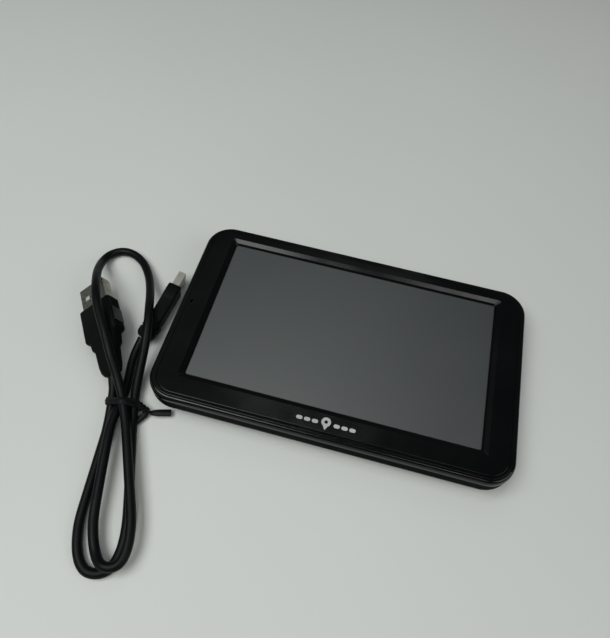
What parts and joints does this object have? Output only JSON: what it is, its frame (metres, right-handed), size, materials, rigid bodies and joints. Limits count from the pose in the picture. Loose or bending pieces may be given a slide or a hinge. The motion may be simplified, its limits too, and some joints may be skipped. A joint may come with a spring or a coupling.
{
  "type": "portable gps navigator",
  "caption": "Handheld in-car satellite navigator: flat touch-screen unit in a rounded case with a top power key, side ports and its tied USB charging lead beside it.",
  "frame": {"origin": "centre of the navigator's footprint, on the plane of its flat back", "axes": "+X along the long side, to the right of the screen; +Y towards the top of the screen; +Z out of the screen"},
  "size_m": [0.1823, 0.145, 0.0186],
  "materials": {
    "case_black": "fine textured moulding",
    "rim_black": "polished",
    "bezel_black": "semi-gloss moulding",
    "screw_steel": "black-zinc plated",
    "screen_film": "anti-glare film, opaque while off",
    "adhesive_tape": "matt",
    "lcd_glass": "polished",
    "pressed_steel": "mill finish",
    "diffuser_white": "frosted",
    "ribbon_polyimide": "satin",
    "connector_ivory": "moulded",
    "board_green": "solder mask",
    "tinned_steel": "bright",
    "chip_black": "moulded epoxy",
    "ceramic_tan": "fired ceramic",
    "silver_plate": "fired silver",
    "battery_foil": "laminate",
    "wire_red": "insulation",
    "foam_black": "foam",
    "speaker_black": "moulded",
    "cone_film": "film",
    "gold_contact": "gold flash",
    "boot_rubber": "moulded",
    "plug_nickel": "nickel plated",
    "lead_black": "satin PVC moulding",
    "cable_black": "satin PVC jacket",
    "tie_black": "plastic-coated wire strip"
  },
  "bodies": {
    "navigator": {"rear_cover": "case_black", "bezel_trim_ring": "rim_black", "front_bezel": "bezel_black", "case_screws": "screw_steel", "touch_panel": "screen_film", "lcd_adhesive_frame": "adhesive_tape", "lcd_glass": "lcd_glass", "backlight_unit": "pressed_steel", "backlight_diffuser": "diffuser_white", "lcd_flex": "ribbon_polyimide", "touch_flex": "ribbon_polyimide", "fpc_connectors": "connector_ivory", "mid_frame": "pressed_steel", "main_pcb": "board_green", "pcb_screws": "screw_steel", "shield_can": "tinned_steel", "processor_chip": "chip_black", "memory_chips": "chip_black", "small_components": "chip_black", "gps_antenna": "ceramic_tan", "gps_antenna_patch": "silver_plate", "battery_pouch": "battery_foil", "battery_tape": "adhesive_tape", "battery_connector": "connector_ivory", "battery_lead": "wire_red", "speaker_gasket": "foam_black", "speaker_frame": "speaker_black", "speaker_cone": "cone_film", "speaker_contacts": "gold_contact", "microphone": "chip_black", "microphone_boot": "boot_rubber", "mini_usb_socket": "tinned_steel", "mini_usb_tongue": "chip_black", "microsd_socket": "tinned_steel", "tact_switch": "tinned_steel"},
    "power_key": {"power_key": "bezel_black", "switch_plunger": "chip_black"},
    "usb_lead": {"usb_a_shell": "plug_nickel", "usb_a_insert": "connector_ivory", "usb_a_overmould": "lead_black", "mini_b_shell": "tinned_steel", "mini_b_insert": "chip_black", "mini_b_overmould": "lead_black", "usb_cable_mini_tail": "cable_black", "usb_cable_a_tail": "cable_black", "usb_cable_top_loop": "cable_black", "usb_cable_hank": "cable_black", "twist_tie": "tie_black"}
  },
  "joints": [
    {"name": "power_key_press", "type": "slide", "parent": "navigator", "child": "power_key", "axis": [0, -1, 0], "range_m": [0, 0.00035], "stiffness_N_per_m": 4000},
    {"name": "lead_apart_slide", "type": "slide", "parent": "navigator", "child": "usb_lead", "axis": [-1, 0, 0], "range_m": [0, 0.06]}
  ]
}
